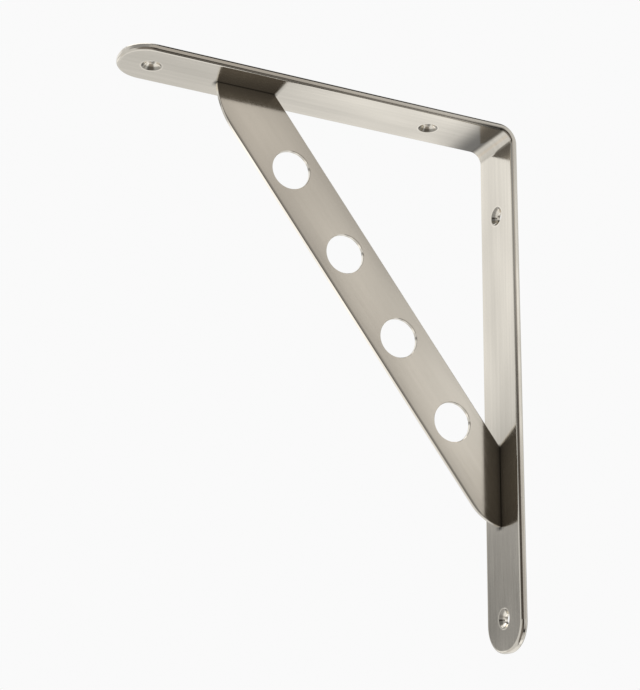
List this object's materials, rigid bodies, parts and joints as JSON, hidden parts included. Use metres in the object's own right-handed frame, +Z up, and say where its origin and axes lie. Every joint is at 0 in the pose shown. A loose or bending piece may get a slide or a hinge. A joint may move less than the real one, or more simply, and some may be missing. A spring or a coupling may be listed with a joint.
{
  "type": "shelf bracket",
  "caption": "Right-angle shelf bracket: a bent flat bar with round ends and countersunk screw holes, braced by a pierced diagonal plate.",
  "frame": {"origin": "on the wall face, midway between the two wall screw holes", "axes": "+X out from the wall under the shelf, +Y across the bar, +Z up"},
  "size_m": [0.2046, 0.0308, 0.261],
  "materials": {
    "satin_bar": "satin nickel, brushed along the bar",
    "satin_plate": "satin nickel, brushed along the plate"
  },
  "bodies": {
    "root": {"bent_bar": "satin_bar", "brace_plate": "satin_plate"}
  },
  "joints": []
}
